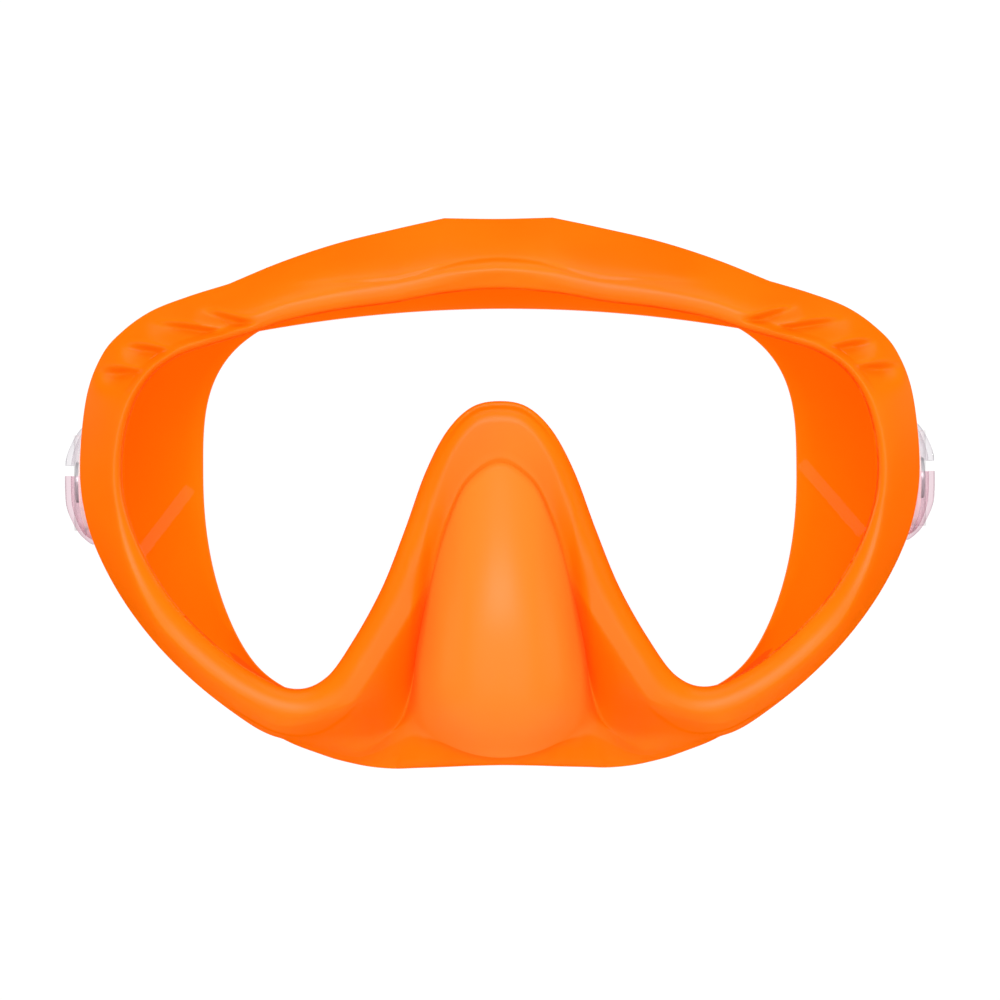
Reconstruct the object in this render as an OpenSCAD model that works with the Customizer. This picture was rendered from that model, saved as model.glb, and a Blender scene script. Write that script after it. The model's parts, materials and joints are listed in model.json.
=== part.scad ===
// Frameless diving mask: one flat pane of tempered glass held in the groove of
// a moulded silicone skirt with a nose pocket, and a clear swivelling strap
// buckle on each side.
// The front faces -Y and the wearer is at +Y. The origin is the middle of the
// face seal, on the plane of symmetry and level with the buckle pivots.

/* [Rim] */
// Width across the silicone rim
rim_w = 170; // [160:1:180]
// Height from the lower lip to the top of the brow
rim_h = 112.2; // [106:0.2:118]
// Height of the rounded bead in front of the glass
bead_h = 4.6; // [3.5:0.1:6]
// Distance from the edge of the opening to the crest of the bead
bead_crest = 4; // [3.4:0.1:4.6]
// Depth of the flutes pressed into the upper corners
flute_depth = 1.1; // [0.6:0.1:1.4]

/* [Skirt] */
// Distance from the seal at the forehead to the front of the glass
skirt_depth = 36; // [33:0.5:42]
// How far the temples of the seal lie behind its middle
temple_wrap = 24; // [18:0.5:28]
// Thickness of the skirt wall
skirt_wall = 2.2; // [1.8:0.1:2.6]
// Thickness of the seal at its free edge
lip_edge = 0.8; // [0.6:0.1:1.2]
// Half width of the opening for the face
face_half_w = 63; // [60:0.5:67]

/* [Nose pocket] */
// Height of the nose pocket in front of its own edge
nose_out = 13; // [10:0.5:15]
// Half width of the nose pocket at the nostrils
nose_half_w = 19; // [18:0.2:21]

/* [Glass] */
// Thickness of the pane
lens_t = 4; // [3:0.1:4.6]
// How deep the pane sits in the groove of the skirt
groove_depth = 2.5; // [2:0.1:3]
// Gap between the edge of the pane and the bottom of the groove
groove_clear = 0.1; // [0.05:0.05:0.3]

/* [Buckle] */
// How far the flat buckle pads lie inside the widest place of the rim
pad_inset = 3.9; // [3.4:0.1:4.4]
// Distance of the buckle pivot behind the front of the glass
pivot_back = 22; // [22:0.2:25]
// Radius of the two release buttons
button_r = 12.8; // [12.4:0.1:13.4]
// Height of the buttons from the pad
button_top = 8.3; // [8.2:0.1:9]
// Wall of the buttons
button_wall = 1.2; // [1:0.05:1.25]
// Gap between the two buttons at rest
button_gap = 2.2; // [2.2:0.1:2.8]
// Place of that gap above the pivot
button_split_z = 2.4; // [1.8:0.1:3]
// Travel of each button
button_travel = 0.9; // [0.6:0.05:0.9]
// Width of the strap between the cheeks
strap_w = 20; // [18:0.5:20.6]
// Thickness of each cheek
cheek_t = 1.8; // [1.5:0.1:2.2]
// Radius of the strap roller
roller_r = 2.4; // [2:0.1:2.6]
// Radius of the roller pin
roller_pin_r = 0.8; // [0.6:0.05:1]
// Radius of the pawl pin
pawl_pin_r = 0.7; // [0.5:0.05:0.8]

/* [Pivot] */
// Radius of the anchor's flange on the pad
flange_r = 9; // [8:0.1:9.4]
// Thickness of that flange
flange_t = 1.6; // [1.2:0.1:1.6]
// Radius of the post that the buckle turns on
post_r = 3; // [2.8:0.05:3.2]
// Radius of the rivet's shank
rivet_r = 1.5; // [1.2:0.05:1.8]
// Radius of the rivet's head
rivet_head_r = 4.2; // [4:0.05:4.4]

/* [Spring] */
// Radius of the button spring to the middle of its wire
spring_r = 0.85; // [0.7:0.05:0.9]
// Diameter of the spring wire
spring_wire = 0.36; // [0.28:0.02:0.38]
// Number of curls
spring_curls = 7; // [5:1:8]

/* [Fits] */
// Radial clearance of pins that turn
run_clear = 0.05; // [0.02:0.01:0.08]
// Radial clearance of pins that are pressed in
press_clear = 0.01; // [0.01:0.005:0.02]
// Gap between pieces that move past each other
slide_gap = 0.3; // [0.3:0.05:0.4]

/* [Hidden] */
$fn = 48;

silicone = [1, 0.45, 0.02];
glass = [0.85, 0.93, 0.93, 0.35];
clear_plastic = [0.95, 0.88, 0.88, 0.6];
steel = [0.75, 0.76, 0.78];

// The outlines are drawn for a rim of this width and height
drawn_w = 170;
drawn_h = 112.2;

// Glass
lens_front = -skirt_depth;
lens_back = lens_front + lens_t;

// Buckle pads
pad_x = rim_w / 2 - pad_inset;
pivot_y = lens_front + pivot_back;

// The stations run down the right half, from the middle of the brow round the
// side and the cheek, then up the leg to the top of the nose: [x, z]
lens_line = [
    [0, 38.5], [11, 37.7], [21, 35.9], [32, 34.5], [42, 32.5], [50, 29.9],
    [58, 27.6], [64.5, 25.4], [69.6, 22], [73.2, 17], [75.4, 10.5], [76.3, 3],
    [75.5, -5], [72.2, -14.2], [66.4, -23.8], [59, -31.8], [50.5, -38.4],
    [42, -42], [35.4, -39.8], [29.6, -32], [23.8, -21.5], [19.2, -10],
    [15, 1.5], [10.6, 9.8], [5.6, 14.6], [0, 15.8],
];
// Outer edge of the rim at the same stations, as far as the cheek
rim_line = [
    [0, 53], [11, 53.2], [20.6, 51.1], [32.6, 48.2], [44.2, 44.4], [54.8, 40],
    [62.9, 37.5], [70.3, 34.6], [76.1, 30.6], [80.4, 25.7], [83.6, 17.2], [85, 3.5],
    [84, -6.5], [80.9, -15.6], [75.2, -25.6], [67.3, -35.2], [57.3, -44.2], [46, -51.7],
];
// Lower edge of the skirt, from the cheek to the middle of the upper lip
lip_line = [
    [37.4, -56.3], [30.1, -58.3], [22.7, -59], [17.1, -58.7], [12, -58.2],
    [8, -57.8], [4, -57.5], [0, -57.3],
];
// Where the face of the rim ends in front of the glass (behind it below zero)
rim_out = [
    -8, -8, -8, -7.5, -7, -6, -5.5, -5, -5, -5, -5, -5, -5, -5, -5, -6, -7,
    -7, -8.5, -10.5, -11, -4, 1.5, 3.5, 4.3, 4.5,
];
last = len(lens_line) - 1;
cheek = len(rim_line) - 1;
corner = last - 5;

// Nose pocket: its top, the height of its nostril corners and its lower end
nose_top = 3.5;
nose_corner = -46;
nose_end = -56;
nose_crest_at = 0.7;
nose_bend = 0.43;

// Seal: the lines on which its outer edge and its free edge lie
seal_z = 1.5;
seal_half_w = rim_w / 2 - 2;
seal_up = 49;
seal_down = 59;
face_up = 36.5;
face_down = 52;
brow_dip = 2;
brow_dip_w = 32;
seal_shoulder = 8;
lip_curl = 3;

// Half turn of the walls behind the rim
tuck_depth = [3.5, 7];
tuck_in = [1.4, 3];
recess_depth = 11;
recess_end = cheek + 2;
bead_share = 0.3;
strip_depth = [16, 6];
rim_back = 3;
rim_wall = 3.5;

// Stations between two drawn ones
substeps = 2;
half_count = last * substeps;

// Buckle stack, measured from the pad
body_t = 3;
body_x = [flange_t + slide_gap, flange_t + slide_gap + body_t];
post_top = body_x[1] + slide_gap;
rivet_head_t = 1;
cheek_h = 6.2;
cheek_x = [body_x[0], body_x[0] + cheek_h];
bar_drop = 0.8;
bar_lap = 0.4;
button_foot = body_x[0] + slide_gap;
dome_round = 4.4;
crown_r = 60;

// Buckle plan, measured from the pivot
hub_gap = 0.9;
hub_r = button_r - button_wall - button_travel - hub_gap;
button_back = 9.4;
neck_half = 4.5;
bar_w = 2.8;
block_y = [button_back + slide_gap, button_back + slide_gap + bar_w];
strap_clear = 0.2;
cheek_in = strap_w / 2 + strap_clear;
cheek_out = cheek_in + cheek_t;
cheek_bevel = [1.9, 1.1];
pin_hold = 0.8;
pin_half = cheek_in + pin_hold;
roller_half = cheek_in - strap_clear;
roller_x = body_x[0] + cheek_h / 2;
roller_back = 8.8;
roller_y = block_y[1] + roller_back;
roller_rib = 0.5;
roller_rib_count = 10;
rib_corners = [[-0.3, 1], [-0.16, 0], [0.16, 0], [0.3, 1]];
pawl_hub_r = 1.5;
pawl_x = cheek_x[1] - pawl_hub_r;
pawl_gap = 0.5;
pawl_y = block_y[1] + pawl_hub_r + pawl_gap;
pawl_tip = [-1, 3.4];

// Button spring
spring_len = 9.4;
spring_rise = 0.2;
spring_x = body_x[1] + spring_rise;
spring_bed_r = spring_r + spring_wire / 2 + slide_gap;
spring_y = 6.2;
spring_seat_half = 1.3;
spring_seat_t = 1.1;
coil_sides = 6;
coil_rings = 8 * spring_curls;

function lerp(a, b, t) = a + (b - a) * t;
function unit(v) = v / norm(v);
function turned(v) = [-v[1], v[0]];
function ramp(a, b, h) = let (t = min(1, max(0, (h - a) / (b - a)))) t * t * (3 - 2 * t);
function flipped(v) = is_list(v) ? [-v[0], v[1]] : v;
function sized(p) = [p[0] * rim_w / drawn_w, p[1] * rim_h / drawn_h];

// Smooth curve through a half outline, whose other half is its mirror image
function drawn(points, i) =
    i < 0 ? flipped(points[-i])
    : i > last ? flipped(points[2 * last - i])
    : points[i];
function bend(a, b, c, d, t) =
    b + 0.5 * t * ((c - a) + t * ((2 * a - 5 * b + 4 * c - d) + t * (3 * b - 3 * c + d - a)));
function curve(points, h) =
    let (i = floor(h))
    bend(drawn(points, i - 1), drawn(points, i), drawn(points, i + 1), drawn(points, i + 2), h - i);

lens_points = [for (p = lens_line) sized(p)];
function opening(h) = curve(lens_points, h);
function outward(h) = turned(unit(opening(h + 0.05) - opening(h - 0.05)));

// Edge of the nose pocket, up from the nostril corner (k = 0) to its top (k = 1)
function pocket_edge(k) =
    let (u = pow(1 - k, 1.6)) [nose_half_w * pow(u, nose_bend), lerp(nose_top, nose_corner, u)];
function pocket_foot(k) =
    let (a = 62 * (1 - k))
    [(nose_half_w - 0.6) * sin(a), nose_corner + (nose_end - nose_corner) * cos(a)];

function tucked(i, n) =
    rim_line[i] - unit(rim_line[i] - lens_line[i]) * tuck_in[n] * (1 - ramp(cheek - 3, cheek, i));
function by_cheek(k) = [34.5 - 9 * k, -50.5 + 2 * k];

// Outer edge of the rim's face, then the edge of the recess and of the pocket
edge_points = [
    for (i = [0:last])
        sized(i <= cheek ? rim_line[i]
            : i < corner ? by_cheek(i - cheek - 1)
            : pocket_edge((i - corner) / (last - corner)))
];
foot_points = [
    for (i = [0:last])
        sized(i <= cheek ? tucked(i, 0)
            : i < corner ? lerp(by_cheek(i - cheek - 1), lip_line[i - cheek - 1], 0.55)
            : pocket_foot((i - corner) / (last - corner)))
];
base_points = [
    for (i = [0:last]) sized(i <= cheek ? tucked(i, 1) : lip_line[i - cheek - 1])
];
foot_out = [
    for (i = [0:last])
        i <= cheek ? rim_out[i] - tuck_depth[0]
            : -lerp(recess_depth, 0, ramp(recess_end, last, i))
];
base_out = [
    for (i = [0:last])
        i <= cheek ? rim_out[i] - tuck_depth[1]
            : -lerp(strip_depth[0], strip_depth[1], ramp(recess_end, last, i))
];

// Height of the rim's face above the front of the glass, f from 0 at the
// opening to 1 at its outer edge
function rim_height(h, f) =
    let (
        width = (curve(edge_points, h) - opening(h)) * outward(h),
        d = f * width,
        s = max(0, (d - bead_crest) / (width - bead_crest)),
        brow = 1 - ramp(3.5, 5.5, h),
        nose = ramp(cheek, cheek + 2, h),
        round_fall = 1 - sqrt(1 - min(1, s * s)),
        recess_fall = pow(max(0, s - bead_share) / (1 - bead_share), 1.2),
        fall = lerp(lerp(round_fall, pow(s, 1.15), brow), recess_fall, nose),
        rise = sqrt(1 - pow(1 - min(1, d / bead_crest), 2))
    )
    d < bead_crest ? lerp(0.8, bead_h, rise) : lerp(bead_h, curve(rim_out, h), fall);

// Swell of the nose pocket from its edge (t = 0) to its lower end (t = 1)
function swell(t, k) =
    t < nose_crest_at ? pow(sin(90 * t / nose_crest_at), lerp(0.8, 1.1, k))
    : sqrt(1 - pow((t - nose_crest_at) / (1 - nose_crest_at), 2));
function pocket_height(h, t) =
    let (k = max(0, (h - corner) / (last - corner)))
    lerp(curve(rim_out, h), curve(foot_out, h), t)
        + nose_out * sqrt(1 - pow(1 - k, 4)) * swell(t, k);

// Closed lines of the seal, by the angle from straight up
function oval(a, half_w, up, down, bend_up, bend_down) =
    let (
        high = cos(a) > 0 ? up : down,
        n = cos(a) > 0 ? bend_up : bend_down,
        r = pow(pow(abs(sin(a)) / half_w, n) + pow(abs(cos(a)) / high, n), -1 / n)
    )
    [r * sin(a), seal_z + r * cos(a)];
// The free edge dips a little over the middle of the brow
function dipped(p) = [p[0], p[1] - (p[1] > 0 ? brow_dip * exp(-pow(p[0] / brow_dip_w, 2)) : 0)];
function face_y(p) = temple_wrap * pow(p[0] / (rim_w / 2), 2);

function at(p, height) = [p[0], lens_front - height, p[1]];
function deep(p, y) = [p[0], y, p[1]];
// The wall is flat where the buckle's anchor is bonded to it
function on_pad(p) =
    abs(p[2]) < flange_r + 4 ? [min(p[0], pad_x), p[1], p[2]] : p;

rim_steps = [0.05, 0.14, 0.26, 0.4, 0.55, 0.7, 0.84, 0.94, 1];
pocket_steps = [0.12, 0.3, 0.5, 0.7, 0.88, 1];
seal_steps = [[0.12, 0], [0.55, 0.5], [1, lip_curl]];
even_reach = [1, 3];
rim_end = len(rim_steps);
root_at = rim_end + len(pocket_steps) + 1;
shell_end = rim_end + len(pocket_steps) + 4;

// Outer line of one station, from the edge of the opening to the lip's edge
function outer_line(h) =
    let (
        a = opening(h),
        e = curve(edge_points, h),
        b = curve(foot_points, h),
        base = curve(base_points, h),
        angle = atan2(base[0], base[1] - seal_z),
        seal = oval(angle, seal_half_w, seal_up, seal_down, 2.3, 2),
        lip = dipped(oval(angle, face_half_w, face_up, face_down, 3.3, 2.8)),
        root = on_pad(at(base, curve(base_out, h))),
        shoulder = deep(seal, face_y(seal) - seal_shoulder)
    )
    concat(
        [deep(a, lens_front)],
        [for (f = rim_steps) at(lerp(a, e, f), rim_height(h, f))],
        [for (t = pocket_steps) at(lerp(e, b, t), pocket_height(h, t))],
        [root],
        [for (t = [1 / 3, 2 / 3]) on_pad(lerp(root, shoulder, t))],
        [shoulder],
        [for (s = seal_steps) let (p = lerp(seal, lip, s[0])) deep(p, face_y(p) - s[1])]
    );

half_lines = [for (i = [0:half_count]) outer_line(i / substeps)];
function mirrored(line) = [for (p = line) [-p[0], p[1], p[2]]];
outer_lines = concat(
    half_lines,
    [for (i = [half_count - 1:-1:1]) mirrored(half_lines[i])]
);
ring = len(outer_lines);
function station(i) = i <= half_count ? i / substeps : (ring - i) / substeps;
function hand(i) = i <= half_count ? 1 : -1;

// Direction into the mask at point j of a station, and the same evened out over
// its neighbours, so that the inner face stays smooth under tight outer bends
function inward(i, j) =
    let (
        across = outer_lines[(i + 1) % ring][j] - outer_lines[(i + ring - 1) % ring][j],
        along = outer_lines[i % ring][j + 1] - outer_lines[i % ring][j - 1]
    )
    unit(cross(along, across));
function total(v, i = 0) = i == len(v) - 1 ? v[i] : v[i] + total(v, i + 1);
function even_inward(i, j) =
    j > root_at ? inward(i, j) :
    unit(total([
        for (di = [-even_reach[0]:even_reach[0]], dj = [-even_reach[1]:even_reach[1]])
            inward((i + di + ring) % ring, min(root_at + 1, max(rim_end, j + dj)))
    ]));
function inner_point(i, j, wall) = outer_lines[i][j] + even_inward(i, j) * wall;

// Whole section of one station: outer line, inner line and groove for the pane
function section(i) =
    let (
        h = station(i),
        a = [hand(i) * opening(h)[0], opening(h)[1]],
        n = [hand(i) * outward(h)[0], outward(h)[1]],
        line = outer_lines[i],
        tip = line[len(line) - 1],
        nose = ramp(cheek, cheek + 2, h),
        reach = lerp(4.2, 5.5, nose)
    )
    concat(
        line,
        [tip - [0, lip_edge, 0]],
        [inner_point(i, shell_end + 1, lerp(skirt_wall, lip_edge, 0.5))],
        [
            for (j = [shell_end:-1:rim_end])
                inner_point(i, j, j == rim_end ? lerp(rim_wall, skirt_wall, nose) : skirt_wall)
        ],
        [for (r = [[reach, rim_back], [1.8, rim_back], [0.5, 1.4], [0, 0]])
            deep(a + n * r[0], lens_back + r[1])],
        [deep(a + n * groove_depth, lens_back), deep(a + n * groove_depth, lens_front)]
    );

// Skin over a ring of closed sections
function skin_faces(rings, sides) = [
    for (i = [0:rings - 1], j = [0:sides - 1])
        let (a = i * sides + j, b = i * sides + (j + 1) % sides,
            c = ((i + 1) % rings) * sides + (j + 1) % sides, d = ((i + 1) % rings) * sides + j)
            each [[a, b, c], [a, c, d]]
];

// Flutes of the right corner, each from its inner to its outer end: the station
// and how far across the rim
flutes = [
    [[5, 0.16], [5.75, 0.63]],
    [[5.7, 0.14], [7, 0.7]],
    [[7.1, 0.14], [8, 0.63]],
    [[8.2, 0.18], [9.15, 0.8]],
];
flute_r = 3;

module flute(ends) {
    hull()
        for (e = ends)
            translate(at(lerp(opening(e[0]), curve(edge_points, e[0]), e[1]),
                rim_height(e[0], e[1]) + flute_r - flute_depth))
                sphere(r = flute_r, $fn = 16);
}

module corner_flutes() {
    for (side = [0, 1], ends = flutes)
        mirror([side, 0, 0]) flute(ends);
}

module skirt() {
    sections = [for (i = [0:ring - 1]) section(i)];
    color(silicone)
        difference() {
            polyhedron(
                points = [for (s = sections) each s],
                faces = skin_faces(ring, len(sections[0])),
                convexity = 10
            );
            corner_flutes();
        }
}

module lens() {
    pane = [
        for (i = [0:ring - 1])
            let (h = station(i), p = opening(h) + outward(h) * (groove_depth - groove_clear))
                [hand(i) * p[0], p[1]]
    ];
    color(glass)
        translate([0, lens_back, 0])
            rotate([90, 0, 0])
                linear_extrude(height = lens_t) polygon(pane);
}

// Buckle, in its own frame: x is the distance from the pad, y runs back from
// the pivot and z is up
module on_side(side) {
    translate([side * pad_x, pivot_y, 0])
        mirror([side < 0 ? 1 : 0, 0, 0])
            children();
}
module rod_x(from, to, r) {
    translate([from, 0, 0]) rotate([0, 90, 0]) cylinder(r = r, h = to - from);
}
module rod_z(from, to, r) {
    translate([0, 0, from]) cylinder(r = r, h = to - from);
}
module block(x, y, z) {
    translate([x[0], y[0], z[0]]) cube([x[1] - x[0], y[1] - y[0], z[1] - z[0]]);
}

module anchor(side) {
    color(clear_plastic)
        on_side(side)
            difference() {
                union() {
                    rod_x(0, flange_t, flange_r);
                    rod_x(0, post_top, post_r);
                }
                rod_x(-1, post_top + 1, rivet_r + press_clear);
            }
}

module pivot_rivet(side) {
    color(steel)
        on_side(side) {
            rod_x(0, post_top, rivet_r);
            rod_x(post_top, post_top + rivet_head_t, rivet_head_r);
        }
}

// Cheek seen from the side, round at the end that carries the roller
module cheek_plan() {
    translate([block_y[0] + bar_lap, body_x[0]])
        square([roller_y - block_y[0] - bar_lap, cheek_x[1] - body_x[0]]);
    translate([roller_y, roller_x]) circle(r = cheek_x[1] - roller_x);
}

// What is taken off the outer edge of a cheek
module cheek_edge() {
    end = roller_y + cheek_h;
    translate([cheek_x[1], end, cheek_out])
        rotate([90, 0, 0])
            linear_extrude(height = end - block_y[0])
                polygon([
                    [cheek_bevel[0] / 2, -1.5 * cheek_bevel[1]],
                    [cheek_bevel[0] / 2, cheek_bevel[1] / 2],
                    [-1.5 * cheek_bevel[0], cheek_bevel[1] / 2],
                ]);
}

module buckle_body(side) {
    color(clear_plastic)
        on_side(side)
            difference() {
                union() {
                    rod_x(body_x[0], body_x[1], hub_r);
                    block(body_x, [0, block_y[1] - bar_lap], [-neck_half, neck_half]);
                    block([body_x[0] + bar_lap, cheek_x[1] - bar_drop], block_y,
                        [-cheek_in - cheek_t / 2, cheek_in + cheek_t / 2]);
                    for (z = [cheek_in, -cheek_out])
                        translate([0, 0, z])
                            rotate([0, 0, 90])
                                mirror([0, 1, 0])
                                    linear_extrude(height = cheek_t) cheek_plan();
                }
                rod_x(0, button_top, post_r + run_clear);
                translate([spring_x, spring_y, 0])
                    rod_z(-hub_r, hub_r, spring_bed_r);
                translate([roller_x, roller_y, 0])
                    rod_z(-pin_half - press_clear, pin_half + press_clear, roller_pin_r + press_clear);
                translate([pawl_x, pawl_y, 0])
                    rod_z(-pin_half - press_clear, pin_half + press_clear, pawl_pin_r + press_clear);
                cheek_edge();
                mirror([0, 0, 1]) cheek_edge();
            }
}

// Half profile of the hollow domed cap that the two buttons are cut from
module dome_profile(r, top, round) {
    intersection() {
        union() {
            square([r - round, top - button_foot]);
            square([r, top - button_foot - round]);
            translate([r - round, top - button_foot - round]) circle(r = round);
        }
        translate([0, top - button_foot - crown_r]) circle(r = crown_r, $fn = 96);
        square([r, top - button_foot]);
    }
}

module dome(r, top, round) {
    translate([button_foot, 0, 0])
        rotate([0, 90, 0])
            rotate_extrude() dome_profile(r, top, round);
}

// Upper button for up = 1, lower button for up = -1
module button(side, up) {
    z = button_split_z + up * button_gap / 2;
    seat = button_split_z + up * spring_len / 2;
    color(clear_plastic)
        on_side(side)
            intersection() {
                union() {
                    difference() {
                        dome(button_r, button_top, dome_round);
                        dome(button_r - button_wall, button_top - button_wall, dome_round - button_wall);
                        translate([-1, 0, 0])
                            dome(button_r - button_wall, button_top - button_wall, dome_round - button_wall);
                    }
                    intersection() {
                        dome(button_r, button_top, dome_round);
                        block([body_x[1] + slide_gap, button_top],
                            [spring_y - spring_seat_half, spring_y + spring_seat_half],
                            up > 0 ? [seat, seat + spring_seat_t] : [seat - spring_seat_t, seat]);
                    }
                }
                block([0, button_top + 1], [-button_r - 1, button_back],
                    up > 0 ? [z, button_r + 1] : [-button_r - 1, z]);
            }
}

// Coil of the button spring, swept as one unbroken tube
function coil_ring(i) =
    let (
        t = i / coil_rings,
        a = 360 * spring_curls * t,
        z = lerp(-spring_len / 2 + spring_wire / 2, spring_len / 2 - spring_wire / 2, t),
        out = [cos(a), sin(a), 0]
    )
    [
        for (s = [0:coil_sides - 1])
            let (b = 360 * s / coil_sides)
                out * (spring_r + spring_wire / 2 * cos(b)) + [0, 0, z + spring_wire / 2 * sin(b)]
    ];
function coil_faces() = concat(
    [
        for (i = [0:coil_rings - 1], s = [0:coil_sides - 1])
            let (a = i * coil_sides + s, b = i * coil_sides + (s + 1) % coil_sides)
                each [[a, b, a + coil_sides], [b, b + coil_sides, a + coil_sides]]
    ],
    [for (s = [1:coil_sides - 2]) [0, s + 1, s]],
    [for (s = [1:coil_sides - 2]) [0, s, s + 1] + coil_rings * coil_sides * [1, 1, 1]]
);
echo(least_spring_gap = (spring_len - spring_wire) / spring_curls - spring_wire);

module button_spring(side) {
    color(steel)
        on_side(side)
            translate([spring_x, spring_y, button_split_z])
                polyhedron(
                    points = [for (i = [0:coil_rings]) each coil_ring(i)],
                    faces = coil_faces()
                );
}

// Section of the roller: ribs that grip the strap, on a core
module roller_section() {
    pitch = 360 / roller_rib_count;
    difference() {
        polygon([
            for (k = [0:roller_rib_count - 1], c = rib_corners)
                (roller_r - c[1] * roller_rib) * [cos((k + c[0]) * pitch), sin((k + c[0]) * pitch)]
        ]);
        circle(r = roller_pin_r + run_clear);
    }
}

module strap_roller(side) {
    color(clear_plastic)
        on_side(side)
            translate([roller_x, roller_y, -roller_half])
                linear_extrude(height = 2 * roller_half) roller_section();
}

module roller_pin(side) {
    color(steel)
        on_side(side)
            translate([roller_x, roller_y, 0]) rod_z(-pin_half, pin_half, roller_pin_r);
}

module strap_pawl(side) {
    color(clear_plastic)
        on_side(side)
            translate([pawl_x, pawl_y, 0])
                difference() {
                    union() {
                        rod_z(-roller_half, roller_half, pawl_hub_r);
                        translate([0, 0, -roller_half])
                            linear_extrude(height = 2 * roller_half)
                                polygon([[pawl_hub_r, 0], [-pawl_hub_r, 0], pawl_tip, pawl_tip + [0.6, 0]]);
                    }
                    rod_z(-roller_half - 1, roller_half + 1, pawl_pin_r + run_clear);
                }
}

module pawl_pin(side) {
    color(steel)
        on_side(side)
            translate([pawl_x, pawl_y, 0]) rod_z(-pin_half, pin_half, pawl_pin_r);
}

skirt();
lens();
anchor(1);  // right_anchor
pivot_rivet(1);  // right_pivot_rivet
buckle_body(1);  // right_buckle_body
button(1, 1);  // right_upper_button
button(1, -1);  // right_lower_button
button_spring(1);  // right_button_spring
strap_roller(1);  // right_strap_roller
roller_pin(1);  // right_roller_pin
strap_pawl(1);  // right_strap_pawl
pawl_pin(1);  // right_pawl_pin
anchor(-1);  // left_anchor
pivot_rivet(-1);  // left_pivot_rivet
buckle_body(-1);  // left_buckle_body
button(-1, 1);  // left_upper_button
button(-1, -1);  // left_lower_button
button_spring(-1);  // left_button_spring
strap_roller(-1);  // left_strap_roller
roller_pin(-1);  // left_roller_pin
strap_pawl(-1);  // left_strap_pawl
pawl_pin(-1);  // left_pawl_pin
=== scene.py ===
# %% [markdown]
# # A frameless diving mask
# The mask is one moulding of orange silicone, one pane of tempered glass that snaps into a groove
# of that moulding, and a clear swivelling strap buckle on each side. The imported CAD model is
# loaded first and stays as the fixed frame, so every piece made here is placed in its coordinates,
# in metres: the front faces -Y, the wearer is at +Y and Z is up.

# %% Load the imported frame
import json
import math
import bmesh
import bpy
import numpy as np
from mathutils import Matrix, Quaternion, Vector

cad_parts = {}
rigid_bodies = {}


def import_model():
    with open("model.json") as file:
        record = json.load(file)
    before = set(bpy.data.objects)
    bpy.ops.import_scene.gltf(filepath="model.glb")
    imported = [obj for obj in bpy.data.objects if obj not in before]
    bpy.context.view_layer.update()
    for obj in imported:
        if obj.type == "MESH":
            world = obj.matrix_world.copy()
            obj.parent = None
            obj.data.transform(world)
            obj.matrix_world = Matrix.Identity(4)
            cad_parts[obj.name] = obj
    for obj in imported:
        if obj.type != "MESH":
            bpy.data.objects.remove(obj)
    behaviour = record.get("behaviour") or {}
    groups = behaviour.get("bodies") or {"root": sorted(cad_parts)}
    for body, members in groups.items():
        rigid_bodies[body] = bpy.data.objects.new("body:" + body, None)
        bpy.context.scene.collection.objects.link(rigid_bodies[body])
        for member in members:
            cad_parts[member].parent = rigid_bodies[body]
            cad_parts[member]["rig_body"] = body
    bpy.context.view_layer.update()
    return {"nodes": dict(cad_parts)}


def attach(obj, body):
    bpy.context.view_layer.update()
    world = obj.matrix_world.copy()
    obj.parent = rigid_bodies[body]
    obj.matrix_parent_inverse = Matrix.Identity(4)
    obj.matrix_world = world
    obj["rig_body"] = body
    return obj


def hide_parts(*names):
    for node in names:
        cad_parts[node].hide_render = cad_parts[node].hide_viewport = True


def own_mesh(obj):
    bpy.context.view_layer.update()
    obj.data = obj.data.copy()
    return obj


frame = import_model()
MM = 0.001
SIDES = {"right": 1, "left": -1}

# %% [markdown]
# ## Camera
# The photograph looks straight at the glass. Its frame is 202 mm wide at the
# outer edge of the rim, and the rim's right end sits a little higher than the
# left one, so the camera is rolled by a third of a degree. A long lens from
# 0.9 m away keeps the perspective as weak as it is in the photograph.

# %% Make the camera
RIM_PLANE = -31 * MM
VIEW_DISTANCE, VIEW_WIDTH, VIEW_HEIGHT = 0.9, 202.4 * MM, -4.1 * MM
ROLL = math.radians(0.34)
SENSOR = 36
camera_data = bpy.data.cameras.new("camera")
camera_data.sensor_width = SENSOR
camera_data.lens = SENSOR * VIEW_DISTANCE / VIEW_WIDTH
camera = bpy.data.objects.new("camera", camera_data)
camera.location = (0, RIM_PLANE - VIEW_DISTANCE, VIEW_HEIGHT)
camera.rotation_euler = (math.pi / 2, ROLL, 0)
bpy.context.scene.collection.objects.link(camera)
bpy.context.scene.camera = camera
bpy.context.scene.view_settings.view_transform = "Standard"
print("lens of", round(camera_data.lens, 1), "mm")

# %% [markdown]
# ## Writing shader maths as Python
# Materials are node trees, and long chains of Math nodes are hard to read. This
# class wraps one output socket, so that `1 - mask * 0.5` adds its own Math
# nodes. Every other node comes from the one method `node`, which takes the kind
# of node, its settings, and what goes into its sockets.

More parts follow.
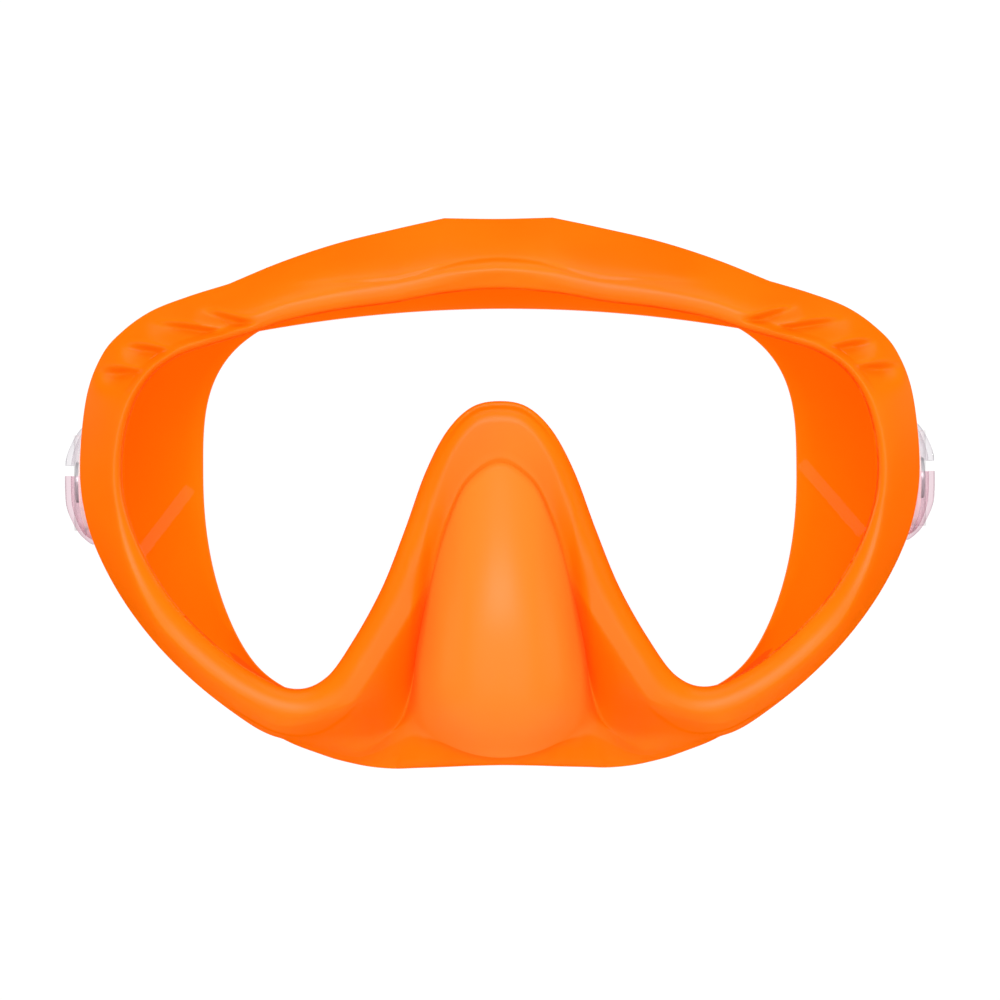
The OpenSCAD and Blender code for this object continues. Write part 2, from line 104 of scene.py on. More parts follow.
# %% The socket class
class Wire:
    def __init__(self, tree, socket=None):
        self.tree, self.socket = tree, socket

    def node(self, kind, settings=None, inputs=None, out=0):
        made = self.tree.nodes.new("ShaderNode" + kind)
        for name, value in (settings or {}).items():
            setattr(made, name, value)
        for name, value in (inputs or {}).items():
            if isinstance(value, Wire):
                self.tree.links.new(value.socket, made.inputs[name])
            else:
                made.inputs[name].default_value = value
        return Wire(self.tree, made.outputs[out])

    def maths(self, operation, a, b):
        return self.node("Math", {"operation": operation}, {0: a, 1: b})

    def __add__(self, other): return self.maths("ADD", self, other)
    def __radd__(self, other): return self.maths("ADD", other, self)
    def __rsub__(self, other): return self.maths("SUBTRACT", other, self)
    def __mul__(self, other): return self.maths("MULTIPLY", self, other)
    def __rmul__(self, other): return self.maths("MULTIPLY", other, self)

    def band(self, low, high):
        """0 below low, 1 above high, smooth between."""
        return self.node("MapRange", {"interpolation_type": "SMOOTHSTEP"},
                         {0: self, 1: low, 2: high})

    def mix(self, low, high):
        """Colour low where this value is 0 and high where it is 1."""
        return self.node("Mix", {"data_type": "RGBA"}, {0: self, 6: low, 7: high}, out=2)


print("sums, differences and products of sockets are ready")

# %% [markdown]
# Three short helpers serve all the materials. What changes over a surface is
# plugged into the shader as a wire. What is the same all over is set on the
# shader's own socket, where an exported model can keep it.

# %% Helpers for materials
def new_material(name):
    material = bpy.data.materials.new(name)
    material.use_nodes = True
    return material, Wire(material.node_tree), material.node_tree.nodes["Principled BSDF"]


def plug(material, wire, name):
    shader = material.node_tree.nodes["Principled BSDF"]
    material.node_tree.links.new(wire.socket, shader.inputs[name])


def constants(shader, **values):
    for name, value in values.items():
        shader.inputs[name.replace("_", " ")].default_value = value


print("materials can be made, plugged and set")

# %% [markdown]
# ## Light
# The photograph is lit almost flat, from around the camera and a little above
# it: what faces the viewer is brightest, and what turns away or lies in a recess
# is darker. A bright white sky would light the recesses too, so the sky is white
# only where the camera sees it, directly or through the glass, and the light
# comes from lamps. Reflections find it almost dark, or the glass would lay a grey
# veil over the orange behind it.

# %% Sky
WHITE, SKY_LIGHT, MIRRORED = 1.04, 0.01, 0.012
world = bpy.data.worlds.new("studio")
bpy.context.scene.world = world
world.use_nodes = True
sky = Wire(world.node_tree)
glossy = sky.node("LightPath", out="Is Glossy Ray")
seen = WHITE * sky.maths("MAXIMUM", sky.node("LightPath", out="Is Camera Ray"),
                         sky.node("LightPath", out="Is Transmission Ray"))
seen = sky.maths("MAXIMUM", seen, glossy * MIRRORED)
lighting = 1 - sky.maths("MAXIMUM", seen, glossy)
background = world.node_tree.nodes["Background"]
background.inputs["Color"].default_value = (1, 1, 1, 1)
world.node_tree.links.new((lighting * SKY_LIGHT + seen).socket, background.inputs["Strength"])
print("sky of", WHITE, "for the camera and", SKY_LIGHT, "as a light")

# %% [markdown]
# One softbox above the camera is mirrored in the satin of the silicone. Large
# fills from the front, top, bottom, sides and back light the shape and are kept
# out of reflections, so that they leave no bright patches. A small lamp behind
# each side puts a spark on the clear buckle. Two faint slanting streaks lie on
# the glass in the photograph; they are reflections, so two narrow, very weak
# strips are placed where the pane mirrors them.

# %% Lamps
def lamp(name, place, target, size, power, mirrored=True, turn=None):
    data = bpy.data.lights.new(name, "AREA")
    data.shape, data.size, data.size_y = "RECTANGLE", *size
    data.energy = power
    light = bpy.data.objects.new(name, data)
    light.location = place
    aim = Vector(np.subtract(target, place))
    light.rotation_mode = "QUATERNION"
    light.rotation_quaternion = aim.to_track_quat("-Z", "Y")
    if turn:
        light.rotation_quaternion @= Quaternion((0, 0, 1), math.radians(turn))
    light.visible_camera = False
    light.visible_glossy = mirrored
    bpy.context.scene.collection.objects.link(light)


MASK, BUCKLE_X, STREAK = (0, 0, 0), 0.085, 0.0002
lamp("front_softbox", (0, -1.3, 0.42), MASK, (0.6, 0.5), 7)
lamp("front_fill", (0, -1.6, 0.1), MASK, (1.6, 1.2), 8.5, mirrored=False)
lamp("top_fill", (0, -0.5, 1.3), MASK, (1.4, 1.0), 11.5, mirrored=False)
lamp("low_fill", (0, -1.2, -0.55), MASK, (1.4, 0.6), 4.8, mirrored=False)
for side in SIDES.values():
    lamp("side_fill", (side * 1.3, -0.6, 0.0), MASK, (0.8, 1.0), 5, mirrored=False)
    lamp("back_fill", (side * 0.9, 1.1, 0.25), MASK, (1.0, 1.0), 9.5, mirrored=False)
    lamp("back_glint", (side * 1.1, 0.55, 0.35), (side * BUCKLE_X, 0, 0), (0.14, 0.14), 1.5)
lamp("left_strip", (-0.1013, -0.486, -0.0099), (-0.06, -0.036, -0.006),
     (0.0036, 0.0252), STREAK, turn=-37.5)
lamp("right_strip", (0.1004, -0.486, -0.004), (0.06, -0.036, -0.003),
     (0.0036, 0.0283), STREAK, turn=40.5)
print(len(bpy.data.lights), "lamps")

# %% [markdown]
# ## The silicone moulding
# The moulding is one closed skin. Round the opening for the glass run 26 drawn
# stations for each half, from the middle of the brow round the side and the
# cheek, and up the leg to the top of the nose. At each station a section goes
# over the bead, down the rim or over the nose pocket, back along the wall to
# the face seal, and returns along the inside to the groove of the glass. A
# subdivision surface over a few hand-placed points could make such a shape, but
# its groove and its seal would drift; a loft through sections keeps both exact.

# %% Drawn lines of the moulding, in mm
lens_line = np.array([
    [0, 38.5], [11, 37.7], [21, 35.9], [32, 34.5], [42, 32.5], [50, 29.9], [58, 27.6],
    [64.5, 25.4], [69.6, 22], [73.2, 17], [75.4, 10.5], [76.3, 3], [75.5, -5], [72.2, -14.2],
    [66.4, -23.8], [59, -31.8], [50.5, -38.4], [42, -42], [35.4, -39.8], [29.6, -32],
    [23.8, -21.5], [19.2, -10], [15, 1.5], [10.6, 9.8], [5.6, 14.6], [0, 15.8]])
rim_line = np.array([
    [0, 53], [11, 53.2], [20.6, 51.1], [32.6, 48.2], [44.2, 44.4], [54.8, 40], [62.9, 37.5],
    [70.3, 34.6], [76.1, 30.6], [80.4, 25.7], [83.6, 17.2], [85, 3.5], [84, -6.5],
    [80.9, -15.6], [75.2, -25.6], [67.3, -35.2], [57.3, -44.2], [46, -51.7]])
lip_line = np.array([
    [37.4, -56.3], [30.1, -58.3], [22.7, -59], [17.1, -58.8], [12, -58.5], [8, -58.2],
    [4, -58], [0, -57.9]])
rim_out = np.array([  # how far the edge of the rim's face stands in front of the glass
    -8, -8, -8, -7.5, -7, -6, -5.5, -5, -5, -5, -5, -5, -5, -5, -4, -2.2, -1.4, -2, -6.5, -10.5,
    -11, -4, 1.5, 3.5, 4.3, 4.5])
LAST, CHEEK, CORNER = len(lens_line) - 1, len(rim_line) - 1, len(lens_line) - 6
LENS_FRONT, LENS_BACK = -36, -32
print(LAST + 1, "stations for each half")

# %% [markdown]
# A smooth curve through a half outline needs the mirrored points beyond both of
# its ends, or it would have a corner on the plane of symmetry. `along` reads any
# of the tables at fractions of a station. The rim does have two real corners on
# each side, at the ends of the flat top of the brow and where the brow meets the
# side, and the curve is broken there.

# %% Reading the drawn lines
RIM_CORNERS = (1, 5)


def along(table, h, corners=()):
    table = np.asarray(table, float)
    step = np.floor(h).astype(int)
    t = h - step
    if table.ndim == 2:
        t = t[:, None]

    def drawn(k):
        beyond = (k < 0) | (k > LAST)
        point = table[np.where(k < 0, -k, np.where(k > LAST, 2 * LAST - k, k))].copy()
        if table.ndim == 2:
            point[beyond, 0] *= -1
        return point

    a, b, c, d = drawn(step - 1), drawn(step), drawn(step + 1), drawn(step + 2)
    for i in corners:
        a[step == i] = (2 * b - c)[step == i]
        d[step + 1 == i] = (2 * c - b)[step + 1 == i]
    bend, sweep = 2 * a - 5 * b + 4 * c - d, 3 * b - 3 * c + d - a
    return b + 0.5 * t * ((c - a) + t * (bend + t * sweep))


print("glass opening up to", round(2 * along(lens_line, np.linspace(0, LAST, 500))[:, 0].max(), 1),
      "mm wide")

# %% [markdown]
# The rest of the moulding is written with five small functions: a straight mix
# of two values, a smooth ramp from 0 to 1, a bell-shaped hump, a vector brought
# to length 1, and the direction that leads away from the glass.

# %% Small functions
def lerp(a, b, t):
    return a + (b - a) * t


def ramp(low, high, value):
    t = np.clip((value - low) / (high - low), 0, 1)
    return t * t * (3 - 2 * t)


def hump(offset, width):
    return np.exp(-(offset / width) ** 2)


def unit(v):
    return v / np.linalg.norm(v, axis=-1, keepdims=True)


def outward(h):
    tangent = unit(along(lens_line, h + 0.05) - along(lens_line, h - 0.05))
    return np.stack([-tangent[:, 1], tangent[:, 0]], axis=1)


print("half way up a ramp:", ramp(0, 1, 0.5))

# %% [markdown]
# The outer edge of the rim's face runs on as the edge of the finger recess
# beside the nose, then as the crease round the nose pocket. Below it lie two
# more lines: the foot, where the rim has turned back or the pocket ends in a
# shallow arc, and the base, where the wall starts.

# %% Edge, foot and base of the rim and the pocket
NOSE_HALF, NOSE_OUT, NOSE_TOP, NOSE_CORNER, NOSE_END = 19.5, 13, 3.5, -48, -56
ARC_RISE = 7.8
FOOT_TUCK, BASE_TUCK = 1.4, 3
FOOT_BACK, BASE_BACK = 3.5, 7


def pocket_edge(k):
    u = (1 - k) ** 1.6
    return [NOSE_HALF * u ** 0.43, lerp(NOSE_TOP, NOSE_CORNER, u)]


def pocket_foot(k):
    x = (NOSE_HALF - 0.9) * (1 - k) ** 0.9
    return [x, NOSE_END + ARC_RISE * (x / NOSE_HALF) ** 2]


def tucked(i, amount):
    away = unit(rim_line[i] - lens_line[i])
    return rim_line[i] - away * amount * (1 - ramp(CHEEK - 3, CHEEK, i))


def by_cheek(k):
    return np.array([34.5 - 8.5 * k, -51.2 - 0.6 * k])


edge, foot, base, foot_out, base_out = [], [], [], [], []
for i in range(LAST + 1):
    below, k = ramp(CHEEK + 2, LAST, i), (i - CORNER) / (LAST - CORNER)
    if i <= CHEEK:
        edge.append(rim_line[i])
        foot.append(tucked(i, FOOT_TUCK))
        base.append(tucked(i, BASE_TUCK))
    else:
        lip = lip_line[i - CHEEK - 1]
        recess = by_cheek(i - CHEEK - 1)
        edge.append(recess if i < CORNER else pocket_edge(k))
        foot.append(lerp(recess, lip, 0.55) if i < CORNER else pocket_foot(k))
        base.append(lip)
    foot_out.append(rim_out[i] - FOOT_BACK if i <= CHEEK else -lerp(11, 1.2, below))
    base_out.append(rim_out[i] - BASE_BACK if i <= CHEEK else -lerp(16, 5, below))
print("lower lip at", min(p[1] for p in base), "mm")

# %% [markdown]
# The face of the rim carries the details that catch the light. A fold runs over
# the brow like a gull's wings: in the middle the bead stands above the panel,
# and to both sides the panel stands above the bead. A texture could only fake
# its shading, so it is a change of height.

# %% Brow fold
fold_x = [0, 8, 12, 15.5, 20, 26, 33, 40, 60]
fold_from_glass = [5.8, 5.5, 4.9, 4.3, 4.1, 4.4, 5.2, 6.2, 9]


def brow_fold(x, from_glass):
    off = np.abs(x)
    q = from_glass - np.interp(off, fold_x, fold_from_glass)
    soft = ramp(10, 22, off)
    above = 0.5 + 0.5 * np.tanh(q / (0.32 + 0.5 * soft))
    wings = ramp(9, 20, off) * (1 - ramp(34, 48, off))
    line = (1 - 0.6 * soft) * (1 - ramp(28, 42, off)) * hump(q, 0.45)
    bulge = np.maximum(q, 0) / 2.6
    return (0.8 * hump(x, 10.5) * (1 - above) * ramp(-4.6, -2.2, q)
            + wings * above * (0.4 + 0.3 * bulge * np.exp(1 - bulge)) - 0.35 * line)


print("the fold runs", min(fold_from_glass), "to", max(fold_from_glass), "mm from the glass")

# %% [markdown]
# Four short flutes are pressed into each upper corner of the rim. The wall above
# each flute is steep and the wall below it is easy, which is why each shows as a
# dark line over a bright one.

# %% Corner flutes
FLUTE_DEPTH, STEEP_WALL, EASY_WALL = 3.1, 1, 3
flutes = [  # inner end, outer end, share of the length over which the inner end fades
    ((46.6, 29.7), (60.2, 34.1), 0.25), ((51.2, 28.7), (70, 31.5), 0.25),
    ((63.4, 24.9), (75.8, 27), 0.6), ((69.4, 21.5), (81, 21.9), 0.6)]


def flute_cut(x, z):
    cut = np.zeros_like(x)
    for inner, outer, fade in flutes:
        inner, outer = np.array(inner), np.array(outer)
        length = np.linalg.norm(outer - inner)
        run = (outer - inner) / length
        right, up = np.abs(x) - inner[0], z - inner[1]
        t = (right * run[0] + up * run[1]) / length
        side = -right * run[1] + up * run[0]
        hollow = np.where(side > 0, hump(side, STEEP_WALL), hump(side, EASY_WALL))
        cut += FLUTE_DEPTH * hollow * ramp(-0.1, fade, t) * (1 - ramp(0.6, 1.1, t))
    return cut


print(len(flutes), "flutes in each corner")

# %% [markdown]
# The bead also ends in a fold: it leaves the outline at the cheek, runs under the
# lower corner of the glass and turns up into the finger recess. Everything
# outside that line lies lower. The line is drawn with 12 points, and cutting its
# corners three times makes it smooth.

# %% Fold under the bead
bead_end = np.array([
    [64, -37.6], [55.9, -44.5], [50, -48.4], [45.5, -50.7], [40.9, -51.6], [37.3, -51.2],
    [34.2, -49.6], [30.4, -46.5], [26.4, -41.2], [22.5, -34.7], [18, -28], [14.2, -21.5]])
for _ in range(3):
    start, end = bead_end[:-1], bead_end[1:]
    cut = np.stack([lerp(start, end, 0.25), lerp(start, end, 0.75)], axis=1).reshape(-1, 2)
    bead_end = np.concatenate([bead_end[:1], cut, bead_end[-1:]])


def past_bead(x, z):
    """Distance outward from the fold, below zero on the bead."""
    point = np.stack([np.abs(x), z], axis=-1)
    nearest, side = np.full(x.shape, 1e9), np.zeros(x.shape)
    for a, b in zip(bead_end[:-1], bead_end[1:]):
        run = b - a
        t = np.clip(((point - a) @ run) / (run @ run), 0, 1)
        gap = point - (a + t[..., None] * run)
        distance = np.linalg.norm(gap, axis=-1)
        turn = run[0] * gap[..., 1] - run[1] * gap[..., 0]
        side = np.where(distance < nearest, np.sign(turn), side)
        nearest = np.minimum(distance, nearest)
    return nearest * side


def below_bead(x, z):
    """1 just outside the fold, less further out, 0 on the bead."""
    q = past_bead(x, z)
    ends = ramp(-62, -54, -np.abs(x)) * (1 - ramp(-49, -44, z))
    return ends * ramp(-0.2, 0.4, q) * np.exp(-np.maximum(q, 0) / 6)


print("the bead's end has", len(bead_end), "points")

# %% [markdown]
# These functions give the outer face of the moulding. Heights are measured
# forward from the front of the glass. From the glass, the rim's face climbs to
# the crest of the bead and then falls to its edge: with a round shoulder on the
# brow, nearly straight at the side, and down into the finger recess by the nose.

# %% Face of the rim
BEAD_H, SIDE_BEAD, LOW_BEAD = 4.6, 3.2, 3.8
SHOULDER = 0.35
CREST_FROM_GLASS = ([0, 1, 2, 4, 5, 6, 7, 8.5, 12, 14.5],
                    [3, 2.9, 2.4, 2.4, 2.1, 1.6, 1, 0.9, 1.5, 4.4])
ROUNDNESS = ([0, 1.2, 2.2, 3.5, 5, 7, 12, 14.5], [2.8, 2.8, 2.4, 2.2, 1.6, 2, 2, 2])


def rim_face(h, f):
    """Plan, height and distance from the glass at shares f of the way to the edge."""
    def spread(values):
        return values[:, None]

    opening, rim = along(lens_line, h), along(edge, h, RIM_CORNERS)
    width = spread(np.sum((rim - opening) * outward(h), axis=1))
    crest = spread(np.interp(h, *CREST_FROM_GLASS))
    at_side = spread(ramp(5.5, 8.5, h) * (1 - ramp(12, 14.5, h)))
    low = spread(ramp(13, 15, h) * (1 - ramp(17, 19, h)))
    bead = lerp(lerp(BEAD_H, SIDE_BEAD, at_side), LOW_BEAD, low)
    d = f[None, :] * width
    s = np.clip((d - crest) / (width - crest), 0, 1)
    straight = spread(1 - ramp(12, 14.5, h))
    nose = spread(ramp(CHEEK, CHEEK + 2, h))
    plan = lerp(opening[:, None, :], rim[:, None, :], f[None, :, None])
    q = past_bead(plan[..., 0], plan[..., 1])
    wall = np.clip((q + 0.8) / np.maximum(q[:, -1:] + 0.8, 1.5), 0, 1) ** 1.35
    leg = lerp(wall, s ** 1.5, spread(ramp(20.8, 22, h)))
    brow = spread(1 - ramp(5.5, 7.5, h))
    shoulder = (np.hypot(s, SHOULDER) - SHOULDER) / (math.hypot(1, SHOULDER) - SHOULDER)
    fall = lerp(lerp(s ** 1.6, lerp(s ** 1.15, shoulder, brow), straight), leg, nose)
    n = spread(np.interp(h, *ROUNDNESS))
    short = 1 - np.minimum(1, d / crest)
    rise = lerp((1 - short ** n) ** (1 / n), 1 - short ** 3, straight)
    climb = lerp(lerp(0.8, bead - 1, straight), bead, rise)
    height = np.where(d < crest, climb, lerp(bead, spread(along(rim_out, h)), fall))
    return plan, height, d


print("the bead stands", BEAD_H, "mm in front of the glass, and", SIDE_BEAD, "mm at the side")

# %% [markdown]
# The nose pocket bulges forward from its crease, stands out furthest at seven
# tenths of its length and rounds off to the arc at its end. Toward its corners
# the bulge dies away.

# %% Face of the nose pocket
POCKET_CREST = 0.7


def pocket_face(h, t):
    """Plan and height at shares t of the way from the crease to the foot."""
    k = np.maximum(0, (h - CORNER) / (LAST - CORNER))[:, None]
    t = t[None, :]
    start = np.sin(np.pi / 2 * np.minimum(t / POCKET_CREST, 1)) ** lerp(0.8, 1.1, k)
    finish = 1 - (np.maximum(0, t - POCKET_CREST) / (1 - POCKET_CREST)) ** 2.8
    upper, lower = along(edge, h, RIM_CORNERS), along(foot, h, RIM_CORNERS)
    plan = lerp(upper[:, None, :], lower[:, None, :], t[..., None])
    bulge = NOSE_OUT * np.sqrt(np.maximum(0, 1 - (1 - k) ** 4))
    ground = lerp(along(rim_out, h)[:, None], along(foot_out, h)[:, None], t)
    return plan, ground + bulge * np.where(t < POCKET_CREST, start, finish)


def raised(plan, height):
    return np.stack([plan[..., 0], LENS_FRONT - height, plan[..., 1]], axis=-1)


print("the pocket stands out by", NOSE_OUT, "mm")

# %% [markdown]
# Behind the rim the wall runs back to the face seal. The seal's outline is an
# oval, flatter above the middle than below it, and bent round the face. From
# there the rubber turns in to a lip with an oval of its own, which is a flat arc
# on the forehead and is held a few millimetres inside the seal below. Each side
# of the wall is flattened to a pad for the buckle.

# %% Wall and face seal
SEAL_MIDDLE = 1.5
SEAL_OVAL, LIP_OVAL = (83, 49, 59, 2.3, 2), (63, 37.2, 66, 3.3, 2.2)
LIP_TOP, LIP_ARC = 36.1, 0.00165
LIP_GAP, LIP_GAP_ENDS, HOLD = 3, 4, 40
FACE_DEPTH, FACE_HALF = 24, 85
SEAL_ROLL, PAD_HALF, PAD_X = 8, 13, 81.1
SEAL_CURL = ((0.12, 0), (0.55, 0.5), (1, 3))  # share of the way to the lip, mm forward


def oval(angle, half_w, up, down, bend_up, bend_down):
    high = np.where(np.cos(angle) > 0, up, down)
    n = np.where(np.cos(angle) > 0, bend_up, bend_down)
    wide, tall = np.abs(np.sin(angle)) / half_w, np.abs(np.cos(angle)) / high
    r = (wide ** n + tall ** n) ** (-1 / n)
    return np.stack([r * np.sin(angle), SEAL_MIDDLE + r * np.cos(angle)], axis=-1)


def face_y(plan):
    return FACE_DEPTH * (plan[..., 0] / FACE_HALF) ** 2


def lip_inside(seal, angle):
    """The lip's line, never nearer to the seal's line than the gap."""
    middle = np.array([0, SEAL_MIDDLE])
    lip = oval(angle, *LIP_OVAL)
    lip[:, 1] = np.minimum(lip[:, 1], LIP_TOP - LIP_ARC * lip[:, 0] ** 2)
    reach = np.linalg.norm(lip - middle, axis=1)
    limit = np.linalg.norm(seal - middle, axis=1) - LIP_GAP - LIP_GAP_ENDS * np.cos(angle) ** 4
    held = (1 + (reach / limit) ** HOLD) ** (-1 / HOLD)
    return middle + (lip - middle) * held[:, None]


def wall_to_seal(h):
    """Base of the wall, two points along it, its shoulder and three points of the seal."""
    plan = along(base, h, RIM_CORNERS)
    angle = np.arctan2(plan[:, 0], plan[:, 1] - SEAL_MIDDLE)
    seal = oval(angle, *SEAL_OVAL)
    lip = lip_inside(seal, angle)
    root = raised(plan, along(base_out, h))
    shoulder = np.stack([seal[:, 0], face_y(seal) - SEAL_ROLL, seal[:, 1]], axis=-1)
    points = [root, lerp(root, shoulder, 1 / 3), lerp(root, shoulder, 2 / 3)]
    for p in points:
        pad = np.abs(p[:, 2]) < PAD_HALF
        p[pad, 0] = np.minimum(p[pad, 0], PAD_X)
    points.append(shoulder)
    for share, curl in SEAL_CURL:
        p = lerp(seal, lip, share)
        points.append(np.stack([p[:, 0], face_y(p) - curl, p[:, 1]], axis=-1))
    return np.stack(points, axis=1)


print("seal", 2 * SEAL_OVAL[0], "mm wide and", sum(SEAL_OVAL[1:3]), "mm high")

# %% [markdown]
# Sections are made for the right half only and mirrored. Between the points of a
# section runs a smooth curve, whose slopes are held to the shorter neighbour so
# that it can't overshoot where a long step meets a short one.

# %% Mirroring and smoothing
PER_STATION = 16
h = np.arange(LAST * PER_STATION + 1) / PER_STATION


def both_sides(values):
    """Plain values of the right half's sections and, after them, of the mirrored ones."""
    return np.concatenate([values, values[-2:0:-1]])


def whole(half):
    """The right half's sections and, after them, their mirror images."""
    mirrored = half[-2:0:-1].copy()
    mirrored[..., 0] *= -1
    return np.concatenate([half, mirrored])


def smooth_line(points, steps):
    """More points on a smooth curve through those of each section."""
    first, after = 2 * points[:, :1] - points[:, 1:2], 2 * points[:, -1:] - points[:, -2:-1]
    p = np.concatenate([first, points, after], axis=1)
    out = []
    for k in range(points.shape[1] - 1):
        a, b, c, d = (p[:, k + m] for m in range(4))
        reach = np.linalg.norm(c - b, axis=-1, keepdims=True)
        into = unit(c - a) * np.minimum(reach, np.linalg.norm(b - a, axis=-1, keepdims=True))
        leave = unit(d - b) * np.minimum(reach, np.linalg.norm(d - c, axis=-1, keepdims=True))
        for t in np.arange(steps) / steps:
            out.append((2 * t**3 - 3 * t**2 + 1) * b + (t**3 - 2 * t**2 + t) * into
                       + (3 * t**2 - 2 * t**3) * c + (t**3 - t**2) * leave)
    out.append(points[:, -1])
    return np.stack(out, axis=1)


print(len(both_sides(h)), "sections round the glass")

# %% [markdown]
# The inner face lies one wall thickness inside the outer one. A coarse outline is
# enough to find the directions inward. They are evened out over the neighbouring
# points, because a plain offset would fold over itself behind the tight bends
# beside the nostrils.

# %% Directions from the outer to the inner face
RIM_STEPS = np.array([0.05, 0.14, 0.26, 0.4, 0.55, 0.7, 0.84, 0.94, 1])
POCKET_STEPS = np.array([0.12, 0.3, 0.5, 0.7, 0.88, 1])
opening = raised(along(lens_line, h)[:, None, :], np.zeros((len(h), 1)))
plan, height, _ = rim_face(h, RIM_STEPS)
pocket = raised(*pocket_face(h, POCKET_STEPS))
outline = whole(np.concatenate([opening, raised(plan, height), pocket, wall_to_seal(h)], axis=1))
rim_end = len(RIM_STEPS)
root_at = rim_end + len(POCKET_STEPS) + 1
shell_end = root_at + 3
half_step = PER_STATION // 2
across = np.roll(outline, -half_step, axis=0) - np.roll(outline, half_step, axis=0)
inward = np.zeros_like(outline)
inward[:, 1:-1] = unit(np.cross(outline[:, 2:] - outline[:, :-2], across[:, 1:-1]))
even = inward.copy()
for j in range(rim_end, root_at + 1):
    near = np.clip(np.arange(j - 3, j + 4), rim_end, root_at + 1)
    total = inward[:, near].sum(axis=1)
    even[:, j] = unit(sum(np.roll(total, s, axis=0) for s in (-half_step, 0, half_step)))
print("coarse outline:", outline.shape)

# %% [markdown]
# The fine skin follows. The rim gets 52 steps across it, so that the fold and
# the flutes are crisp. Two grooves are cut round the top of the nose, one beside
# the glass and one along the crease where the rim meets the pocket.

# %% Relief on the rim
NOSE_GROOVE, CREASE, CREASE_WIDTH = 0.9, 0.45, 0.55
rim_f = np.linspace(0, 1, 53)
plan, height, from_glass = rim_face(h, rim_f)
x, z = plan[..., 0], plan[..., 1]
on_brow = (1 - ramp(4.2, 6, h))[:, None]
by_glass = ramp(22.4, 24, h)[:, None]
by_nose_top = ramp(CORNER + 1.8, CORNER + 3.2, h)[:, None]
height = height + on_brow * brow_fold(x, from_glass) * ramp(0, 1.2, from_glass)
height -= flute_cut(x, z) * ramp(0.7, 2.6, from_glass)
height -= below_bead(x, z)
height -= NOSE_GROOVE * by_glass * hump(from_glass - 0.9, 0.45)
height -= CREASE * by_nose_top * hump(from_glass[:, -1:] - from_glass, CREASE_WIDTH)
print("rim face", round(height.min(), 1), "to", round(height.max(), 1), "mm from the glass")

# %% [markdown]
# The pocket rises quickly from its crease, and ends in a narrow lip along the
# arc below it. Its points lie close together at both ends, where it bends most.

# %% Relief on the nose pocket
SWELL, ARC_LIP = 0.9, 1.2
pocket_t = np.concatenate([
    [0.008, 0.016, 0.026, 0.04, 0.06], np.linspace(0.09, POCKET_CREST, 14),
    lerp(POCKET_CREST, 1, np.sin(np.linspace(0.15, 1, 9) * np.pi / 2))])
pocket_plan, pocket_height = pocket_face(h, pocket_t)
pocket_length = np.linalg.norm(along(edge, h) - along(foot, h), axis=1)[:, None]
t = pocket_t[None, :]
from_crease, to_arc = t * pocket_length, (1 - t) * pocket_length
by_pocket = ramp(CORNER + 0.2, CORNER + 1.6, h)[:, None]
fold = below_bead(pocket_plan[..., 0], pocket_plan[..., 1])
pocket_height += (SWELL * by_pocket * (1 - np.exp(-from_crease / 0.8)) * (1 - t)
                  - CREASE * by_nose_top * hump(from_crease, CREASE_WIDTH))
pocket_height += ARC_LIP * by_pocket * hump(to_arc, 0.9)
pocket_height -= fold * (1 - t) * (1 - by_pocket)
print("pocket up to", round(pocket_height.max(), 1), "mm in front of the glass")

# %% [markdown]
# Rim, pocket, wall and seal are joined to one outer face. Behind the lip of the
# arc the wall is pushed back and up over four points, so that the lip throws a
# line of shadow.

# %% Outer face
BACK_STEPS = 6
UNDERCUT_BACK, UNDERCUT_UP = np.array([1.2, 1.0, 0.6, 0.2]), np.array([0.8, 0.8, 0.5, 0.2])
front = whole(np.concatenate([opening, raised(plan, height), raised(pocket_plan, pocket_height)],
                             axis=1))
wall_points = np.concatenate([front[:, -1:], whole(wall_to_seal(h))], axis=1)
back = smooth_line(wall_points, BACK_STEPS)[:, 1:]
under_arc = both_sides(by_pocket)
back[:, :4, 1] += under_arc * UNDERCUT_BACK
back[:, :4, 2] += under_arc * UNDERCUT_UP
face = np.concatenate([front, back], axis=1)
FRONT_ROWS, BACK_ROWS, RIM_ROWS = front.shape[1], back.shape[1], 1 + len(rim_f)
print(FRONT_ROWS, "points to the foot of each section and", BACK_ROWS, "behind it")

# %% [markdown]
# Under the lower corners of the glass the rim, the recess and the pocket meet at
# steep angles. A hundred passes of averaging with the neighbouring points ease
# them into the soft curves of a moulding, most at two places beside each nostril.
# The fold under the bead is deepened afterwards, so that it stays crisp.

# %% Ease the low rim
PASSES, EASE, FOLD_DEPTH = 100, 0.5, 1.9
row = np.arange(face.shape[1])
low_rim = both_sides(ramp(16.2, 17.4, h) * (1 - ramp(19.4, 20.3, h)))[:, None]
eased = (low_rim * ((row >= 40) & (row < FRONT_ROWS + 6)))[..., None] * EASE
corner = np.zeros(face.shape[:2])
for at_x, at_z, spread in ((NOSE_HALF, NOSE_CORNER + 1.5, 20), (34, -49.5, 24)):
    away = (np.abs(face[..., 0]) - at_x) ** 2 + (face[..., 2] - at_z) ** 2
    corner += np.exp(-away / spread) * ((row > 30) & (row < FRONT_ROWS + 8))
corner = corner[..., None] * EASE
for _ in range(PASSES):
    middle = (face[:, :-2] + face[:, 2:]) / 2
    around = (np.roll(face, 1, axis=0) + np.roll(face, -1, axis=0))[:, 1:-1] / 2
    face[:, 1:-1] += ((middle - face[:, 1:-1]) * eased[:, 1:-1]
                      + ((middle + around) / 2 - face[:, 1:-1]) * corner[:, 1:-1])
fold_rows = np.clip((FRONT_ROWS + BACK_STEPS - row) / BACK_STEPS, 0, 1)
face[..., 1] += FOLD_DEPTH * below_bead(face[..., 0], face[..., 2]) * fold_rows
print("low rim eased in", PASSES, "passes")

# %% [markdown]
# The inside starts at the rounded free edge of the lip and follows the outer face
# at the wall's thickness, which is greatest behind the rim.

